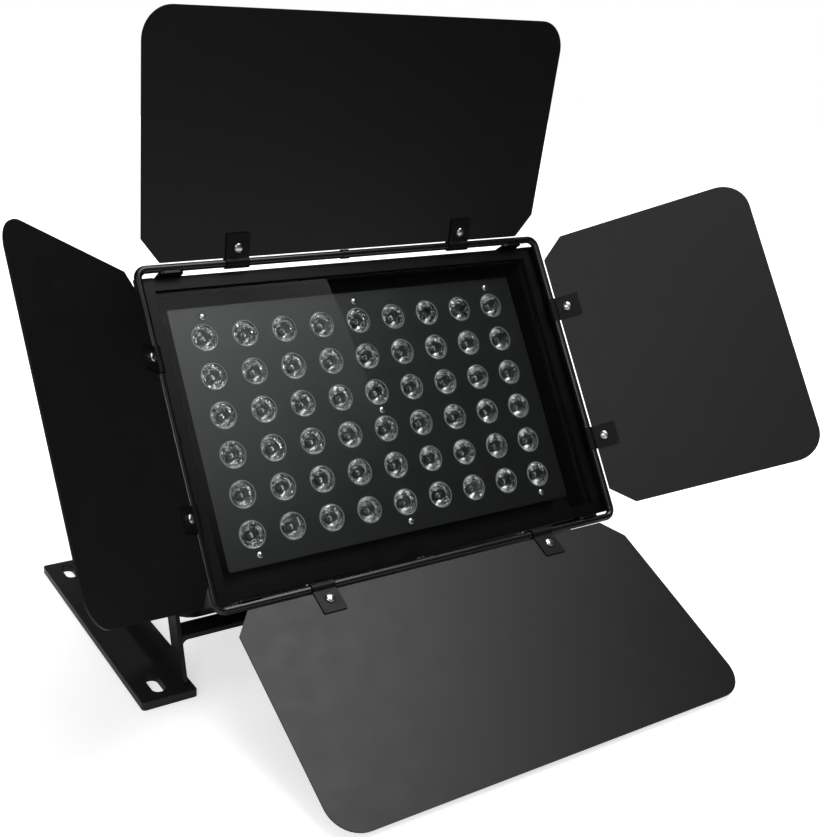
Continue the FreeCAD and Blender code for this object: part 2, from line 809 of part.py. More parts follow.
def door_clip(x):
    """Strip folded round the rod, with a tongue on each face of the door"""
    inner = rod_radius + clip_running_gap
    outer = inner + clip_thickness
    half = clip_width / 2
    start = V(x - half, 0, 0)
    end = V(x + half, 0, 0)
    tongue_outer = door_thickness / 2 + clip_thickness
    corners = rectangle(half, clip_length / 2, x, clip_length / 2)
    radii = [0, 0, clip_corner_radius, clip_corner_radius]
    tongues = slab("xz", corners, radii, -tongue_outer, tongue_outer)
    strip = round_bar(outer, start, end).fuse(tongues).removeSplitter()
    strip = strip.cut(round_bar(inner, start, end))
    gap = block(x - half, x + half, -door_thickness / 2, door_thickness / 2, 0, clip_length + overrun)
    strip = strip.cut(gap)
    hole = round_bar(clip_screw_diameter / 2 + clip_screw_clearance, V(x, -outer, clip_screw_distance),
                     V(x, outer, clip_screw_distance))
    return strip.cut(hole)


def clip_screw(x):
    """Pan head screw through a clip and the door"""
    seat = door_thickness / 2 + clip_thickness
    top = -seat - clip_screw_head_height
    head = round_bar(clip_screw_head_diameter / 2, V(x, top, clip_screw_distance),
                     V(x, -seat, clip_screw_distance))
    crown = [edge for edge in head.Edges if edge.BoundBox.YMax < top + join_distance]
    head = head.makeFillet(clip_screw_head_radius, crown)
    shank = round_bar(clip_screw_diameter / 2, V(x, -seat, clip_screw_distance),
                      V(x, seat + clip_nut_height + clip_screw_tail, clip_screw_distance))
    return head.fuse(shank).removeSplitter()


def clip_nut(x):
    """Hexagon nut behind the door"""
    seat = door_thickness / 2 + clip_thickness
    body = hexagon(clip_nut_width, V(x, seat, clip_screw_distance), V(0, clip_nut_height, 0))
    bore = round_bar(clip_screw_diameter / 2 + clip_thread_gap, V(x, seat - overrun, clip_screw_distance),
                     V(x, seat + clip_nut_height + overrun, clip_screw_distance))
    return body.cut(bore)


def door_pieces(side):
    """The nodes of one door in its hinge frame"""
    long_door = side in ("top", "bottom")
    half_width = long_door_half_width if long_door else side_door_half_width
    chamfer_width = long_door_chamfer_width if long_door else side_door_chamfer_width
    clip_x = long_door_clip_x if long_door else side_door_clip_x
    places = (-clip_x, clip_x)
    return {"door_" + side: door_sheet(half_width, chamfer_width, clip_x),
            "door_" + side + "_clips": group([door_clip(x) for x in places]),
            "door_" + side + "_screws": group([clip_screw(x) for x in places]),
            "door_" + side + "_nuts": group([clip_nut(x) for x in places])}


def bracket_nodes():
    """Everything that stands still"""
    friction_washer = pivot_disc(friction_washer_diameter, pivot_hole_clearance, bracket_inner_x,
                                 bracket_inner_x - friction_washer_thickness)
    pivot_washer = pivot_disc(pivot_washer_diameter, pivot_hole_clearance, bracket_outer_x,
                              bracket_outer_x + pivot_washer_thickness)
    return {"foot_left": foot(), "foot_right": mirrored_x(foot()),
            "side_plate_left": side_plate(), "side_plate_right": mirrored_x(side_plate()),
            "cross_bar_front": cross_bar(-1), "cross_bar_rear": cross_bar(1),
            "pivot_bolts": group([pivot_bolt(), mirrored_x(pivot_bolt())]),
            "pivot_washers": group([pivot_washer, mirrored_x(pivot_washer)]),
            "friction_washers": group([friction_washer, mirrored_x(friction_washer)])}


def head_nodes():
    """Everything that tilts with the head, in the head's upright frame"""
    nodes = {"housing": housing(), "rear_cover": rear_cover(), "cooling_fins": cooling_fins(),
             "rear_cover_screws": rear_cover_screws(),
             "heat_spreader": heat_spreader(), "led_board": led_board(), "led_emitters": led_emitters(),
             "lenses": lenses(), "mask_plate": mask_plate(), "mask_pillars": mask_pillars(),
             "mask_screws": mask_screws(), "glass": glass(), "gasket": gasket(),
             "bezel_screws": bezel_screws(), "control_panel": control_panel(),
             "display_window": display_window(), "power_sockets": power_sockets(),
             "signal_sockets": signal_sockets(), "safety_eye": safety_eye(),
             "power_supply": power_supply(), "control_board": control_board(),
             "control_standoffs": control_standoffs(), "rod_frame": rod_frame(),
             "frame_tabs": frame_tabs(), "frame_tab_screws": frame_tab_screws(),
             "pivot_bosses": group([pivot_boss(), mirrored_x(pivot_boss())])}
    for side in ("left", "right", "top", "bottom"):
        nodes["bezel_" + side] = bezel(side)
    for number in range(button_count):
        nodes["menu_button_%d" % (number + 1)] = menu_button(number)
    return nodes


def all_nodes():
    """Every node at its place in the part"""
    nodes = bracket_nodes()
    for name, shape in head_nodes().items():
        nodes[name] = on_head(shape)
    doors = {"top": (top_door_angle, long_door_shift, 0, rod_z),
             "bottom": (bottom_door_angle, long_door_shift, half_turn, rod_z),
             "left": (left_door_angle, side_door_shift, -quarter_turn, rod_x),
             "right": (right_door_angle, side_door_shift, quarter_turn, rod_x)}
    for side, opening in doors.items():
        for name, shape in door_pieces(side).items():
            nodes[name] = on_door(shape, *opening)
    return nodes


os.makedirs("parts", exist_ok=True)
for node_name, node_shape in all_nodes().items():
    node_shape.exportStep("parts/" + node_name + ".step")
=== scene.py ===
"""Looks of the LED stage light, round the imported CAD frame, in metres; MM is a millimetre."""
import math
import random

import bmesh
import bpy
from mathutils import Matrix, Vector


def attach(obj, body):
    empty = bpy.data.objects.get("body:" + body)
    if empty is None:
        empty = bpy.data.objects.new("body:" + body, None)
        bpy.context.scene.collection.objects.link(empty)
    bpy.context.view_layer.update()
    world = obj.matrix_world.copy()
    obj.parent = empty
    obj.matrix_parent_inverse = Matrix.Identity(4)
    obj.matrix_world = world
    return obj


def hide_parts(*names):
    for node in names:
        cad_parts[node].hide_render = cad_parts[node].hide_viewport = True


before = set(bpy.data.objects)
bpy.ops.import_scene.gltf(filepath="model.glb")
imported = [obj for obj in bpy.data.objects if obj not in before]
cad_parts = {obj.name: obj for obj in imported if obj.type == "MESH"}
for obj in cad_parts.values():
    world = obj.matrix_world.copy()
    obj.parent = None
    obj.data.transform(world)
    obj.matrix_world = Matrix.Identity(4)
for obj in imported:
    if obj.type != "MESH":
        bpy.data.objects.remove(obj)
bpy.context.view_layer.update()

MM = 0.001
bpy.context.scene.view_settings.view_transform = "Standard"

# Head frame of the CAD source: lens fronts at y = 0, beam along -y, tilted about the pivot bolts
TILT = math.radians(31.4)
PIVOT = Vector((0, -30.6, 157.7)) * MM
PIVOT_BEHIND_LENSES = 58 * MM
HEAD = (Matrix.Translation(PIVOT) @ Matrix.Rotation(-TILT, 4, "X")
        @ Matrix.Translation((0, -PIVOT_BEHIND_LENSES, 0)))
FORWARD, BACKWARD = (0, -1, 0), (0, 1, 0)

# Doors: angle at rest, shift along the rod in mm, turn about the beam, the rod's place, screws' reach in mm
ROD_X, ROD_Z, ROD_FRONT = 190.5 * MM, 129.05 * MM, 20.1 * MM
DOORS = {"top": (38.2, -2.0, 0, ROD_Z, 106), "bottom": (31.2, -2.0, 180, ROD_Z, 106),
         "left": (46.2, -0.9, -90, ROD_X, 60), "right": (39.9, -0.9, 90, ROD_X, 60)}

# Middles of the lenses on the front of the head, in mm
LED_COLUMNS, LED_ROWS = 9, 6
LED_PITCH_X, LED_PITCH_Z = 35.0, 31.3
LED_PLACES = [((column - (LED_COLUMNS - 1) / 2) * LED_PITCH_X, ((LED_ROWS - 1) / 2 - row) * LED_PITCH_Z)
              for row in range(LED_ROWS) for column in range(LED_COLUMNS)]


def door_frame(side):
    """Matrix from a door's hinge frame to the part"""
    angle, shift, spin, distance, _ = DOORS[side]
    return (HEAD @ Matrix.Rotation(math.radians(spin), 4, "Y")
            @ Matrix.Translation((0, -ROD_FRONT, distance))
            @ Matrix.Rotation(math.radians(angle), 4, "X") @ Matrix.Translation((shift * MM, 0, 0)))


def placed(name, data):
    """A new object in the scene"""
    item = bpy.data.objects.new(name, data)
    bpy.context.scene.collection.objects.link(item)
    return item


# Materials

# Noise scales of colour and gloss, strength of the bump, and how far the colour strays
COAT_MOTTLE, COAT_GLOSS, COAT_BUMP, COAT_VARIATION = 14, 60, 0.35, 0.06
METAL_MOTTLE, METAL_GLOSS, METAL_BUMP, METAL_DARKEST = 90, 240, 0.12, 0.85
METAL_GRAIN, METAL_DEPTH = 500, 0.02 * MM
LENS_TINT, LENS_IOR, LENS_HAZE_SCALE, LENS_HAZE = (0.93, 0.945, 0.94, 1), 1.49, 150, 0.05
FACET_SCALE, FACET_BUMP, FACET_DEPTH = 420, 0.35, 0.3 * MM
PANE_TINT, PANE_IOR, PANE_GLOSS = (0.95, 0.965, 0.96, 1), 1.5, 0.65
WHITE = (1, 1, 1, 1)


def new_material(name):
    """A material with one Principled shader, and its node tree and shader"""
    material = bpy.data.materials.new(name)
    material.use_nodes = True
    tree = material.node_tree
    return material, tree, tree.nodes["Principled BSDF"]


def bare_material(name):
    """A material with nothing but its output, and its node tree"""
    material, tree, shader = new_material(name)
    tree.nodes.remove(shader)
    return material, tree


def set_shader(shader, **values):
    """Sets sockets by name, with underscores for spaces"""
    for name, value in values.items():
        shader.inputs[name.replace("_", " ")].default_value = value


def math_node(tree, operation, first, second, clamp=False):
    """The result of a Math node on two sockets or numbers"""
    node = tree.nodes.new("ShaderNodeMath")
    node.operation = operation
    node.use_clamp = clamp
    for entry, value in zip(node.inputs, (first, second)):
        if isinstance(value, float):
            entry.default_value = value
        else:
            tree.links.new(value, entry)
    return node.outputs["Value"]


def noise(tree, scale, detail):
    """Noise over the piece's own coordinates"""
    place = tree.nodes.get("Texture Coordinate") or tree.nodes.new("ShaderNodeTexCoord")
    texture = tree.nodes.new("ShaderNodeTexNoise")
    texture.inputs["Scale"].default_value = scale
    texture.inputs["Detail"].default_value = detail
    tree.links.new(place.outputs["Object"], texture.inputs["Vector"])
    return texture.outputs["Fac"]


def spread(tree, value, low, high, from_low=0.3, from_high=0.7):
    """Maps a value on to a range; what it comes from is the usual span of a noise"""
    ramp = tree.nodes.new("ShaderNodeMapRange")
    for name, number in (("From Min", from_low), ("From Max", from_high), ("To Min", low), ("To Max", high)):
        ramp.inputs[name].default_value = number
    tree.links.new(value, ramp.inputs["Value"])
    return ramp.outputs["Result"]


def bump(tree, shader, height, strength, distance):
    """Bump from a height value"""
    node = tree.nodes.new("ShaderNodeBump")
    node.inputs["Strength"].default_value = strength
    node.inputs["Distance"].default_value = distance
    tree.links.new(height, node.inputs["Height"])
    tree.links.new(node.outputs["Normal"], shader.inputs["Normal"])


def tint(tree, shader, value, dark, light):
    """Base colour between two colours by a noise value"""
    mix = tree.nodes.new("ShaderNodeMix")
    mix.data_type = "RGBA"
    mix.inputs["A"].default_value = (*dark, 1)
    mix.inputs["B"].default_value = (*light, 1)
    tree.links.new(spread(tree, value, 0, 1), mix.inputs["Factor"])
    tree.links.new(mix.outputs["Result"], shader.inputs["Base Color"])


def coat(name, colour, rough, grain, depth=0.04, specular=0.5):
    """Painted or moulded surface: mottled colour, uneven gloss and a fine grain, with its depth in mm"""
    material, tree, shader = new_material(name)
    set_shader(shader, Specular_IOR_Level=specular)
    tint(tree, shader, noise(tree, COAT_MOTTLE, 4), [c * (1 - COAT_VARIATION) for c in colour],
         [c * (1 + COAT_VARIATION) for c in colour])
    tree.links.new(spread(tree, noise(tree, COAT_GLOSS, 3), *rough), shader.inputs["Roughness"])
    bump(tree, shader, noise(tree, grain, 2), COAT_BUMP, depth * MM)
    return material


def metal(name, colour, rough=(0.16, 0.3)):
    """Bare or plated metal with fine uneven polish"""
    material, tree, shader = new_material(name)
    set_shader(shader, Metallic=1.0)
    tint(tree, shader, noise(tree, METAL_MOTTLE, 3), [c * METAL_DARKEST for c in colour], colour)
    tree.links.new(spread(tree, noise(tree, METAL_GLOSS, 3), *rough), shader.inputs["Roughness"])
    bump(tree, shader, noise(tree, METAL_GRAIN, 2), METAL_BUMP, METAL_DEPTH)
    return material


def lens_plastic():
    """Clear moulded acrylic with small facets"""
    material, tree, shader = new_material("clear_lens")
    set_shader(shader, Base_Color=LENS_TINT, Transmission_Weight=1.0, IOR=LENS_IOR)
    tree.links.new(spread(tree, noise(tree, LENS_HAZE_SCALE, 2), 0.0, LENS_HAZE), shader.inputs["Roughness"])
    facets = tree.nodes.new("ShaderNodeTexVoronoi")
    facets.inputs["Scale"].default_value = FACET_SCALE
    tree.links.new(tree.nodes["Texture Coordinate"].outputs["Object"], facets.inputs["Vector"])
    bump(tree, shader, facets.outputs["Distance"], FACET_BUMP, FACET_DEPTH)
    return material


def window_glass():
    """Flat pane: clear, with a weakened reflection, and none where light leaves the glass"""
    material, tree = bare_material("window_glass")
    clear = tree.nodes.new("ShaderNodeBsdfTransparent")
    clear.inputs["Color"].default_value = PANE_TINT
    mirror = tree.nodes.new("ShaderNodeBsdfGlossy")
    mirror.inputs["Color"].default_value = WHITE
    mirror.inputs["Roughness"].default_value = 0.0
    fresnel = tree.nodes.new("ShaderNodeFresnel")
    fresnel.inputs["IOR"].default_value = PANE_IOR
    surface = tree.nodes.new("ShaderNodeNewGeometry")
    entering = math_node(tree, "SUBTRACT", 1.0, surface.outputs["Backfacing"])
    gloss = math_node(tree, "MULTIPLY", fresnel.outputs["Fac"], PANE_GLOSS)
    mix = tree.nodes.new("ShaderNodeMixShader")
    tree.links.new(math_node(tree, "MULTIPLY", gloss, entering, clamp=True), mix.inputs["Fac"])
    tree.links.new(clear.outputs["BSDF"], mix.inputs[1])
    tree.links.new(mirror.outputs["BSDF"], mix.inputs[2])
    tree.links.new(mix.outputs["Shader"], tree.nodes["Material Output"].inputs["Surface"])
    return material


def phosphor():
    """Yellow phosphor cap of an LED"""
    material, tree, shader = new_material("emitter_yellow")
    tint(tree, shader, noise(tree, 800, 2), (0.1, 0.085, 0.04), (0.14, 0.12, 0.06))
    set_shader(shader, Roughness=0.25)
    return material


# The material of each slot of the record
FINISHES = {
    "door_coat": coat("door_coat", (0.001, 0.001, 0.0011), (0.44, 0.48), 1300, 0.05, specular=0.42),
    "rod_coat": coat("rod_coat", (0.0045, 0.0045, 0.0046), (0.2, 0.28), 900, 0.01),
    "bezel_coat": coat("bezel_coat", (0.0016, 0.0016, 0.0017), (0.34, 0.44), 1200, specular=0.24),
    "housing_coat": coat("housing_coat", (0.006, 0.006, 0.0062), (0.4, 0.5), 900),
    "bracket_coat": coat("bracket_coat", (0.016, 0.016, 0.0163), (0.3, 0.4), 900, 0.06),
    "mask_coat": coat("mask_coat", (0.0055, 0.0055, 0.0056), (0.3, 0.34), 1500, 0.001, specular=1.0),
    "gasket_rubber": coat("gasket_rubber", (0.008, 0.008, 0.008), (0.7, 0.85), 800),
    "friction_pad": coat("friction_pad", (0.035, 0.033, 0.03), (0.75, 0.9), 600, 0.1),
    "board_black": coat("board_black", (0.008, 0.008, 0.008), (0.35, 0.5), 700, 0.02),
    "board_green": coat("board_green", (0.02, 0.12, 0.05), (0.3, 0.4), 500, 0.02),
    "button_plastic": coat("button_plastic", (0.035, 0.035, 0.036), (0.45, 0.6), 1500, 0.02),
    "socket_power_plastic": coat("socket_plastic", (0.012, 0.016, 0.03), (0.35, 0.45), 1200, 0.02),
    "socket_signal_metal": coat("signal_plastic", (0.012, 0.012, 0.012), (0.3, 0.42), 1200, 0.02),
    "display_plastic": coat("display_plastic", (0.004, 0.005, 0.008), (0.05, 0.09), 300, 0.002),
    "zinc_screws": metal("zinc_screws", (0.74, 0.74, 0.72)),
    "bare_metal": metal("bare_metal", (0.55, 0.55, 0.56), rough=(0.3, 0.45)),
    "clear_lens": lens_plastic(), "window_glass": window_glass(), "emitter_yellow": phosphor()}

# Finishes of single pieces, and the lighter colours of rounded edges, which are painted highlights
clip_coat = coat("clip_coat", (0.0014, 0.0014, 0.0014), (0.43, 0.51), 900, 0.03, specular=0.19)
# Lighter grey, glossier edges of the bezel and the bracket: the lighter grey is a painted highlight
bezel_painted_highlight = coat("bezel_painted_highlight", (0.07, 0.07, 0.07), (0.22, 0.3), 1200, 0.005, specular=0.9)
bracket_painted_highlight = coat("bracket_painted_highlight", (0.04, 0.04, 0.04), (0.3, 0.36), 900, 0.02, specular=0.7)
frosted_rim = coat("lens_rim", (0.3, 0.31, 0.31), (0.25, 0.35), 900, 0.01)
mask_zinc = metal("mask_zinc", (0.8, 0.8, 0.78), rough=(0.2, 0.28))

SLOTS = {"friction_washers": "friction_pad", "glass": "window_glass", "gasket": "gasket_rubber",
         "lenses": "clear_lens", "mask_plate": "mask_coat", "led_board": "board_black",
         "control_board": "board_green", "led_emitters": "emitter_yellow", "mask_pillars": "bare_metal",
         "control_standoffs": "bare_metal", "power_supply": "bare_metal",
         "display_window": "display_plastic", "power_sockets": "socket_power_plastic",
         "signal_sockets": "socket_signal_metal",
         "door_top": "door_coat", "door_bottom": "door_coat", "door_left": "door_coat",
         "door_right": "door_coat", "rod_frame": "rod_coat", "frame_tabs": "rod_coat",
         "pivot_bolts": "zinc_screws", "pivot_washers": "zinc_screws", "safety_eye": "bracket_coat"}


def finish_of(name):
    """Material of a CAD node, by its name"""
    if name.endswith("_clips"):
        return clip_coat
    if name.endswith(("_screws", "_nuts")):
        return FINISHES["zinc_screws"]
    if name.startswith("bezel_"):
        return FINISHES["bezel_coat"]
    if name.startswith(("foot_", "side_plate_", "cross_bar_")):
        return FINISHES["bracket_coat"]
    if name.startswith("menu_button"):
        return FINISHES["button_plastic"]
    return FINISHES[SLOTS.get(name, "housing_coat")]


# Rounded edges of the CAD nodes, by the start of the name and with the width in mm
EDGE_WIDTHS = {"door_": 0.25, "foot_": 0.7, "side_plate_": 0.4, "cross_bar_": 0.4, "bezel_": 0.8,
               "control_panel": 0.5, "cooling_fins": 0.35, "rear_cover": 0.5, "housing": 0.5,
               "safety_eye": 0.4, "frame_tabs": 0.4, "mask_plate": 0.2, "menu_button": 0.6,
               "display_window": 0.3, "power_sockets": 0.4, "signal_sockets": 0.4, "pivot_bolts": 0.5,
               "pivot_washers": 0.3}
EDGE_SEGMENTS, SHARPEST_ANGLE = 2, 40

# Rounded edges coloured a lighter grey than the faces, which is a painted highlight line, and made glossier
EDGE_HIGHLIGHT_COATS = {"bezel_": bezel_painted_highlight, "foot_": bracket_painted_highlight, "side_plate_": bracket_painted_highlight}

for name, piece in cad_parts.items():
    piece.data.materials.clear()
    piece.data.materials.append(finish_of(name))
    for start, width in EDGE_WIDTHS.items():
        if name.startswith(start) and not name.endswith(("_screws", "_nuts")):
            edge = piece.modifiers.new("edges", "BEVEL")
            edge.width = width * MM
            edge.segments = EDGE_SEGMENTS
            edge.limit_method = "ANGLE"
            edge.angle_limit = math.radians(SHARPEST_ANGLE)
            edge.harden_normals = True
            # The bevel's faces take the lighter edge colour, a painted highlight line
            if start in EDGE_HIGHLIGHT_COATS:
                piece.data.materials.append(EDGE_HIGHLIGHT_COATS[start])
                edge.material = 1
            break


# Pieces made here


def mesh_of(shape, name):
    """A mesh from a bmesh, which is then freed"""
    bmesh.ops.recalc_face_normals(shape, faces=shape.faces)
    mesh = bpy.data.meshes.new(name)
    shape.to_mesh(mesh)
    shape.free()
    return mesh


def lathe(profile, sides, smooth=True):
    """A bmesh turned about +z from (radius, height) points; points at radius 0 close the ends"""
    shape = bmesh.new()
    rings = []
    turns = [2 * math.pi * side / sides for side in range(sides)]
    for radius, height in profile:
        if radius == 0:
            rings.append([shape.verts.new((0, 0, height))])
        else:
            rings.append([shape.verts.new((radius * math.cos(t), radius * math.sin(t), height))
                          for t in turns])
    for near, far in zip(rings, rings[1:]):
        for side in range(sides):
            after = (side + 1) % sides
            corners = (near[side % len(near)], near[after % len(near)],
                       far[after % len(far)], far[side % len(far)])
            face = shape.faces.new(list(dict.fromkeys(corners)))
            face.smooth = smooth
    return shape


def skin(shape, sections):
    """Joins each closed section to the next and closes both ends"""
    for near, far in zip(sections, sections[1:]):
        for step in range(len(near)):
            after = (step + 1) % len(near)
            shape.faces.new((near[step], near[after], far[after], far[step]))
    for end in (sections[0], sections[-1]):
        shape.faces.new(end)


def box(shape, centre, size, taper=1.0):
    """Adds a box to a bmesh, narrower at its low end by the taper"""
    for vertex in bmesh.ops.create_cube(shape, size=1.0)["verts"]:
        narrow = taper if vertex.co.z < 0 else 1.0
        vertex.co = Vector((vertex.co.x * size[0] * narrow, vertex.co.y * size[1] * narrow,
                            vertex.co.z * size[2])) + Vector(centre)


def cut(mesh, cutter):
    """The mesh without the cutter"""
    whole = placed("whole", mesh)
    tool = placed("tool", cutter)
    modifier = whole.modifiers.new("cut", "BOOLEAN")
    modifier.operation = "DIFFERENCE"
    modifier.solver = "EXACT"
    modifier.object = tool
    bpy.context.view_layer.update()
    result = bpy.data.meshes.new_from_object(whole.evaluated_get(bpy.context.evaluated_depsgraph_get()))
    for item in (whole, tool):
        bpy.data.objects.remove(item)
    if not result.polygons:
        raise ValueError("the cut left no faces")
    return result


SCREW_SIDES = 40


def pan_head(diameter, height, tail, tail_diameter):
    """Pan head screw along +z with its seat at 0, a cross recess and a shank below"""
    r, h, q = diameter / 2, height, tail_diameter / 2
    crown = [math.radians(8 * step) for step in range(11)]
    profile = [(0, h)] + [(0.99 * r * math.sin(t), h * (0.32 + 0.68 * math.cos(t))) for t in crown[1:]]
    profile += [(r, 0.3 * h), (r, 0.1 * h), (0.97 * r, 0), (q, 0), (q, -tail * 0.96), (0.8 * q, -tail),
                (0, -tail)]
    head = mesh_of(lathe(profile, SCREW_SIDES), "pan_head")
    cross = bmesh.new()
    arm, width, depth = 1.2 * r, 0.3 * r, 0.74 * h
    for size in ((arm, width, depth), (width, arm, depth)):
        box(cross, (0, 0, h * 1.02 - depth / 2 + 0.05 * h), size, taper=0.62)
    return cut(head, mesh_of(cross, "cross"))


def socket_head(diameter, height):
    """Low round head along +z with a hexagon socket"""
    r, h = diameter / 2, height
    profile = [(0, h), (0.72 * r, h), (0.88 * r, 0.9 * h), (0.97 * r, 0.62 * h), (r, 0.3 * h), (r, 0),
               (0, 0)]
    head = mesh_of(lathe(profile, SCREW_SIDES), "socket_head")
    key = lathe([(0, 2 * h), (0.5 * r, 2 * h), (0.5 * r, 0.35 * h), (0, 0.35 * h)], 6, smooth=False)
    return cut(head, mesh_of(key, "key"))


def gather(name, mesh, places, body, finish, stands_for=(), material=None):
    """One piece with a copy of the mesh at every place, riding on a body"""
    shape = bmesh.new()
    for place in places:
        copy = mesh.copy()
        copy.transform(place)
        shape.from_mesh(copy)
        bpy.data.meshes.remove(copy)
    made = bpy.data.meshes.new(name)
    shape.to_mesh(made)
    shape.free()
    made.materials.append(material or FINISHES[finish])
    piece = placed(name, made)
    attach(piece, body)
    if stands_for:
        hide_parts(*stands_for)


def facing(direction, place):
    """Matrix that turns +z to a direction and moves the origin to a place in mm"""
    turn = Vector((0, 0, 1)).rotation_difference(Vector(direction)).to_matrix().to_4x4()
    return Matrix.Translation(Vector(place) * MM) @ turn


def turned(most):
    """A turn about +z by any angle up to the most, as a hand leaves it"""
    return Matrix.Rotation(random.uniform(0, most), 4, "Z")


random.seed(54)

# Door screws
CLIP_SEAT, CLIP_SCREW_Z = 1.95, 12.0
door_screw = pan_head(diameter=7.8 * MM, height=2.4 * MM, tail=7.9 * MM, tail_diameter=4 * MM)
for side in DOORS:
    reach = DOORS[side][4]
    places = [door_frame(side) @ facing(FORWARD, (x, -CLIP_SEAT, CLIP_SCREW_Z)) @ turned(math.pi / 2)
              for x in (-reach, reach)]
    gather("door_%s_screw_heads" % side, door_screw, places, "door_" + side, "zinc_screws",
           ["door_%s_screws" % side])

# Screws of the mask plate
FAR_X, FAR_Z = 138.1, 94.75
mask_screw = pan_head(diameter=5.6 * MM, height=1.8 * MM, tail=2 * MM, tail_diameter=3 * MM)
spots = [(x, z) for z in (FAR_Z, -FAR_Z) for x in (-FAR_X, 0, FAR_X)] + [(0, 0)]
places = [HEAD @ facing(FORWARD, (x, 0, z)) @ turned(math.pi / 2) for x, z in spots]
gather("mask_screw_heads", mask_screw, places, "head", "zinc_screws", ["mask_screws"], mask_zinc)

# Bezel, tab and rear cover screws
BEZEL_X, BEZEL_Z, SHARE = 185.6, 124.15, 0.56
bezel_screw = socket_head(diameter=6.4 * MM, height=1.2 * MM)
places = []
for sign in (-1, 1):
    places += [HEAD @ facing((0, 0, sign), (x, 0, sign * BEZEL_Z))
               for x in (-BEZEL_X * SHARE, 0, BEZEL_X * SHARE)]
    places += [HEAD @ facing((sign, 0, 0), (sign * BEZEL_X, 0, z))
               for z in (-BEZEL_Z * SHARE, BEZEL_Z * SHARE)]
gather("bezel_screw_heads", bezel_screw, places, "head", "zinc_screws", ["bezel_screws"])
TAB_X, TAB_Y, TAB_Z = 163.5, 8.0, 125.95
tab_screw = socket_head(diameter=7 * MM, height=2 * MM)
places = [HEAD @ facing((0, 0, sign), (x, TAB_Y, sign * TAB_Z)) for sign in (-1, 1) for x in (-TAB_X, TAB_X)]
gather("frame_tab_screw_heads", tab_screw, places, "head", "zinc_screws", ["frame_tab_screws"])
COVER_X, COVER_Y, COVER_Z = 174.6, 84.0, 113.15
cover_screw = pan_head(diameter=8 * MM, height=3 * MM, tail=0.5 * MM, tail_diameter=4 * MM)
places = [HEAD @ facing(BACKWARD, (share * COVER_X, COVER_Y, sign * COVER_Z))
          for share in (-1, -0.33, 0.33, 1) for sign in (-1, 1)]
gather("rear_cover_screw_heads", cover_screw, places, "head", "zinc_screws", ["rear_cover_screws"])

# Collimator lenses, as (radius, depth) in mm: a smooth front over a faceted cone, in a frosted rim
LENS_FRONT = [(0, 0.5), (3.4, 0.45), (6.8, 0.3), (9.7, 0.18), (10.2, 0.1), (10.2, 2.6)]
LENS_CONE = [(10.0, 4.3), (9.1, 6.4), (8.0, 8.5), (6.7, 10.5), (5.2, 12.3), (4.5, 13.15)]
LENS_BACK = [(2.9, 13.15), (2.7, 9.4), (1.6, 8.8), (0, 8.5)]
RIM = [(10.22, 0.1), (10.4, 0.02), (10.8, 0.02), (11, 0.2), (11, 2.5), (10.22, 2.6), (10.22, 0.1)]
LENS_SIDES, RIM_SIDES = 36, 48
lens_shape = lathe([(r * MM, -y * MM) for r, y in LENS_FRONT + LENS_CONE + LENS_BACK], LENS_SIDES)
for face in lens_shape.faces:
    depth = -face.calc_center_median().z / MM
    face.smooth = depth < LENS_FRONT[-1][1]
places = [HEAD @ facing(FORWARD, (x, 0, z)) @ turned(math.pi) for x, z in LED_PLACES]
gather("collimator_lenses", mesh_of(lens_shape, "lens"), places, "head", "clear_lens", ["lenses"])
rim_shape = lathe([(r * MM, -y * MM) for r, y in RIM], RIM_SIDES)
places = [HEAD @ facing(FORWARD, (x, 0, z)) for x, z in LED_PLACES]
gather("lens_rims", mesh_of(rim_shape, "rim"), places, "head", "clear_lens", material=frosted_rim)

# Rolled edge of each door: half its length, and its profile as (across the sheet, away from the rod)
HINGE_EDGES = {"top": 170.4, "bottom": 170.4, "left": 107.25, "right": 107.25}
ROLLED = ((-0.74, 4.9), (-0.74, 4.62), (-0.55, 4.3), (-0.25, 4.13), (0, 4.1), (0.25, 4.13), (0.55, 4.3),
          (0.74, 4.62), (0.74, 4.9))
# Distance from the end, and share of the full depth there
ROLLED_REAR, ROLLED_ENDS = 4.95, ((0.05, 0.15), (0.4, 0.7), (1.0, 1.0))
for side, half in HINGE_EDGES.items():
    rolled = bmesh.new()
    ends = ([(inset - half, share) for inset, share in ROLLED_ENDS]
            + [(half - inset, share) for inset, share in reversed(ROLLED_ENDS)])
    skin(rolled, [[rolled.verts.new(Vector((x, y, ROLLED_REAR - (ROLLED_REAR - z) * share)) * MM)
                   for y, z in ROLLED] for x, share in ends])
    gather("door_%s_rolled_edge" % side, mesh_of(rolled, "rolled_edge"), [door_frame(side)], "door_" + side,
           "door_coat")

# Rounded underside of the case, clear of the front cross bar at every tilt
UNDERSIDE_REACH, UNDERSIDE_TOP, UNDERSIDE_STEPS = 128.2, 121.5, 24
UNDERSIDE_FRONT, UNDERSIDE_REAR, CASE_BOTTOM = 19.5, 84.0, 122.0
# Place along the case, and share of the full depth there
END_PLACES = ((183.4, 0.0), (182.9, 0.4), (181.6, 0.68), (179.4, 0.88), (176.4, 0.98), (173.0, 1.0))
underside = bmesh.new()
sections = []
for x, share in [(-x, share) for x, share in END_PLACES] + list(reversed(END_PLACES)):
    outline = [(UNDERSIDE_REAR, UNDERSIDE_TOP), (UNDERSIDE_FRONT, UNDERSIDE_TOP)]
    for step in range(UNDERSIDE_STEPS + 1):
        y = UNDERSIDE_FRONT + (UNDERSIDE_REAR - UNDERSIDE_FRONT) * step / UNDERSIDE_STEPS
        full = math.sqrt(UNDERSIDE_REACH ** 2 - (y - PIVOT_BEHIND_LENSES / MM) ** 2)
        outline.append((y, CASE_BOTTOM + share * max(0.0, full - CASE_BOTTOM)))
    sections.append([underside.verts.new(Vector((x, y, -z)) * MM) for y, z in outline])
skin(underside, sections)
gather("case_underside", mesh_of(underside, "underside"), [HEAD], "head", "housing_coat")

